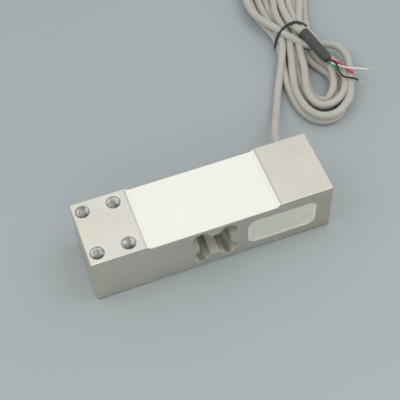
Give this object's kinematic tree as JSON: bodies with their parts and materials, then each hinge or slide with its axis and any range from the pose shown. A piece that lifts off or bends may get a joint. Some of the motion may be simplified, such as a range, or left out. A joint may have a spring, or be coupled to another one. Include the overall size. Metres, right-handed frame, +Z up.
{
  "type": "single point load cell",
  "caption": "Single point load cell: a milled aluminium bending beam with sealed strain gauges, a potted side pocket and a signal cable wound into a tied hank with a sleeved, stripped end.",
  "frame": {"origin": "the middle of the beam's underside", "axes": "+X along the beam from the load end to the fixed end, +Y towards the side where the cable leaves, +Z up through the load end's mounting face"},
  "size_m": [0.2344, 0.2593, 0.0392],
  "materials": {
    "beam_aluminium": "milled and lightly satin",
    "gauge_film": "thin amber carrier film",
    "gauge_foil": "etched foil",
    "flex_film": "amber printed film",
    "copper": "bare copper",
    "white_sealant": "smooth matt sealing compound",
    "board_laminate": "glass-filled laminate",
    "resistor_body": "fired ceramic with a dark coat",
    "insulation_red": "satin insulation",
    "insulation_white": "satin insulation",
    "insulation_black": "satin insulation",
    "insulation_green": "satin insulation",
    "cable_jacket": "matt soft jacket",
    "potting_silicone": "translucent, slightly glossy",
    "seal_rubber": "moulded",
    "tie_ribbon": "thin coated ribbon",
    "sleeve_rubber": "shrunk and finely ribbed",
    "tinned_copper": "tinned strands"
  },
  "bodies": {
    "root": {"beam_body": "beam_aluminium", "gauge_backing_top_load_side": "gauge_film", "gauge_backing_bottom_load_side": "gauge_film", "gauge_backing_top_fixed_side": "gauge_film", "gauge_backing_bottom_fixed_side": "gauge_film", "gauge_grid_top_load_side": "gauge_foil", "gauge_grid_bottom_load_side": "gauge_foil", "gauge_grid_top_fixed_side": "gauge_foil", "gauge_grid_bottom_fixed_side": "gauge_foil", "gauge_flex_top": "flex_film", "gauge_flex_bottom": "flex_film", "terminal_pads_top": "copper", "terminal_pads_bottom": "copper", "gauge_links_top": "copper", "gauge_links_bottom": "copper", "sealing_coat_top": "white_sealant", "sealing_coat_bottom": "white_sealant", "bridge_board": "board_laminate", "board_pads": "copper", "board_resistors": "resistor_body", "board_core_red": "insulation_red", "board_core_white": "insulation_white", "board_core_black": "insulation_black", "board_core_green": "insulation_green", "cable_jacket_end": "cable_jacket", "pocket_potting": "potting_silicone", "cable_seal": "seal_rubber", "cable_lead": "cable_jacket", "cable_hank": "cable_jacket", "cable_tie": "tie_ribbon", "cable_tail": "cable_jacket", "heat_shrink_sleeve": "sleeve_rubber", "wire_end_red": "insulation_red", "wire_end_white": "insulation_white", "wire_end_black": "insulation_black", "wire_end_green": "insulation_green", "wire_tips": "tinned_copper"}
  },
  "joints": []
}
